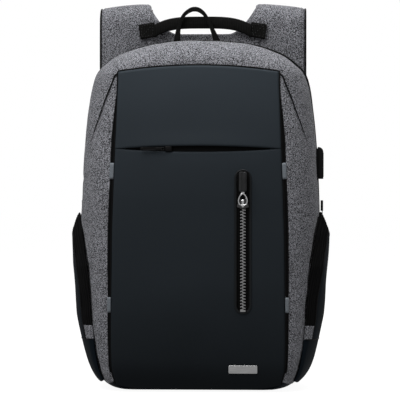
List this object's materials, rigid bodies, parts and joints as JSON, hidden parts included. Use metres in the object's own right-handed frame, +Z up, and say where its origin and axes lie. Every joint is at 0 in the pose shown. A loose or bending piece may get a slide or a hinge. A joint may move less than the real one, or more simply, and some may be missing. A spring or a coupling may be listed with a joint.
{
  "type": "laptop backpack",
  "caption": "Laptop backpack with a hard-looking front panel, zip pockets, side bottle pockets, USB charge port, padded straps and a back panel that zips open.",
  "frame": {"origin": "on the floor, at the middle of the flat base", "axes": "+Z up, front panel towards -Y, straps towards +Y, +X to the viewer's right"},
  "size_m": [0.3434, 0.218, 0.507],
  "materials": {
    "grey_melange": "heathered woven polyester",
    "navy_coated": "smooth coated cloth, matte",
    "black_stretch": "stretch knit",
    "black_webbing": "woven webbing",
    "black_mesh": "air mesh",
    "lining": "plain lining cloth",
    "reflective_tape": "reflective tape",
    "black_plastic": "moulded, satin",
    "gunmetal": "dark plated metal",
    "silver_metal": "bright satin metal"
  },
  "bodies": {
    "bag": {"main_shell": "grey_melange", "base_panel": "navy_coated", "main_zip_tape": "black_webbing", "rear_piping": "black_webbing", "front_panel_upper": "navy_coated", "front_panel_lower": "navy_coated", "front_pocket_lining": "lining", "front_zip_rim": "black_plastic", "front_zip_tape": "black_webbing", "front_zip_teeth": "gunmetal", "slit_zip_tape": "black_webbing", "name_plate": "silver_metal", "usb_housing": "black_plastic", "usb_socket": "silver_metal", "power_bank_pocket": "lining", "panel_gusset_left": "black_stretch", "reflective_tab_upper_left": "reflective_tape", "reflective_tab_lower_left": "reflective_tape", "pocket_shell_left": "navy_coated", "pocket_foot_left": "navy_coated", "pocket_gusset_left": "black_stretch", "pocket_patch_left": "grey_melange", "pocket_hem_left": "black_webbing", "panel_gusset_right": "black_stretch", "reflective_tab_upper_right": "reflective_tape", "reflective_tab_lower_right": "reflective_tape", "pocket_shell_right": "navy_coated", "pocket_foot_right": "navy_coated", "pocket_gusset_right": "black_stretch", "pocket_patch_right": "grey_melange", "pocket_hem_right": "black_webbing"},
    "back": {"back_panel": "black_mesh", "yoke": "grey_melange", "laptop_sleeve": "lining", "back_pad_left": "black_mesh", "shoulder_strap_left": "grey_melange", "strap_webbing_left": "black_webbing", "strap_anchor_left": "black_webbing", "handle_patch_left": "black_webbing", "back_pad_right": "black_mesh", "shoulder_strap_right": "grey_melange", "strap_webbing_right": "black_webbing", "strap_anchor_right": "black_webbing", "handle_patch_right": "black_webbing"},
    "front_zip_slider": {"front_zip_slider": "silver_metal"},
    "front_zip_puller": {"front_zip_puller": "black_plastic"},
    "slit_zip_slider": {"slit_zip_slider": "black_plastic"},
    "slit_zip_puller": {"slit_zip_puller": "black_webbing"},
    "carry_handle": {"carry_handle": "black_webbing"},
    "hang_loop": {"hang_loop": "black_webbing"},
    "main_zip_slider_left": {"main_zip_slider_left": "gunmetal"},
    "main_zip_puller_left": {"main_zip_puller_left": "black_webbing"},
    "ladder_lock_left": {"ladder_lock_left": "black_plastic"},
    "main_zip_slider_right": {"main_zip_slider_right": "gunmetal"},
    "main_zip_puller_right": {"main_zip_puller_right": "black_webbing"},
    "ladder_lock_right": {"ladder_lock_right": "black_plastic"}
  },
  "joints": [
    {"name": "back_opening", "type": "hinge", "parent": "bag", "child": "back", "pos_m": [0, 0.062, 0.016], "axis": [-1, 0, 0], "range_deg": [0, 70]},
    {"name": "front_zip_travel", "type": "slide", "parent": "bag", "child": "front_zip_slider", "axis": [0, 0, -1], "range_m": [0, 0.118]},
    {"name": "front_zip_puller_swing", "type": "hinge", "parent": "front_zip_slider", "child": "front_zip_puller", "pos_m": [0.0575, -0.09164, 0.2491], "axis": [1, 0, 0], "range_deg": [0, 165]},
    {"name": "slit_zip_travel", "type": "slide", "parent": "bag", "child": "slit_zip_slider", "axis": [1, 0, 0], "range_m": [0, 0.075]},
    {"name": "slit_zip_puller_swing", "type": "hinge", "parent": "slit_zip_slider", "child": "slit_zip_puller", "pos_m": [-0.044, -0.08362, 0.311], "axis": [0, 0, 1], "range_deg": [0, 150]},
    {"name": "main_zip_travel_left", "type": "slide", "parent": "bag", "child": "main_zip_slider_left", "axis": [0.026, 0, 0.9997], "range_m": [0, 0.09]},
    {"name": "main_zip_puller_swing_left", "type": "hinge", "parent": "main_zip_slider_left", "child": "main_zip_puller_left", "pos_m": [-0.16039, 0.0566, 0.2275], "axis": [0, -1, 0], "range_deg": [0, 150]},
    {"name": "ladder_lock_tilt_left", "type": "hinge", "parent": "back", "child": "ladder_lock_left", "pos_m": [-0.1105, 0.1025, 0.131], "axis": [1, 0, 0], "range_deg": [0, 45]},
    {"name": "main_zip_travel_right", "type": "slide", "parent": "bag", "child": "main_zip_slider_right", "axis": [-0.026, 0, 0.9997], "range_m": [0, 0.09]},
    {"name": "main_zip_puller_swing_right", "type": "hinge", "parent": "main_zip_slider_right", "child": "main_zip_puller_right", "pos_m": [0.16039, 0.0566, 0.2275], "axis": [0, 1, 0], "range_deg": [0, 150]},
    {"name": "ladder_lock_tilt_right", "type": "hinge", "parent": "back", "child": "ladder_lock_right", "pos_m": [0.1105, 0.1025, 0.131], "axis": [1, 0, 0], "range_deg": [0, 45]},
    {"name": "carry_handle_swing", "type": "hinge", "parent": "back", "child": "carry_handle", "pos_m": [0, 0.0703, 0.471], "axis": [1, 0, 0], "range_deg": [-20, 7]},
    {"name": "hang_loop_swing", "type": "hinge", "parent": "back", "child": "hang_loop", "pos_m": [0, 0.064, 0.4545], "axis": [1, 0, 0], "range_deg": [0, 70]}
  ]
}
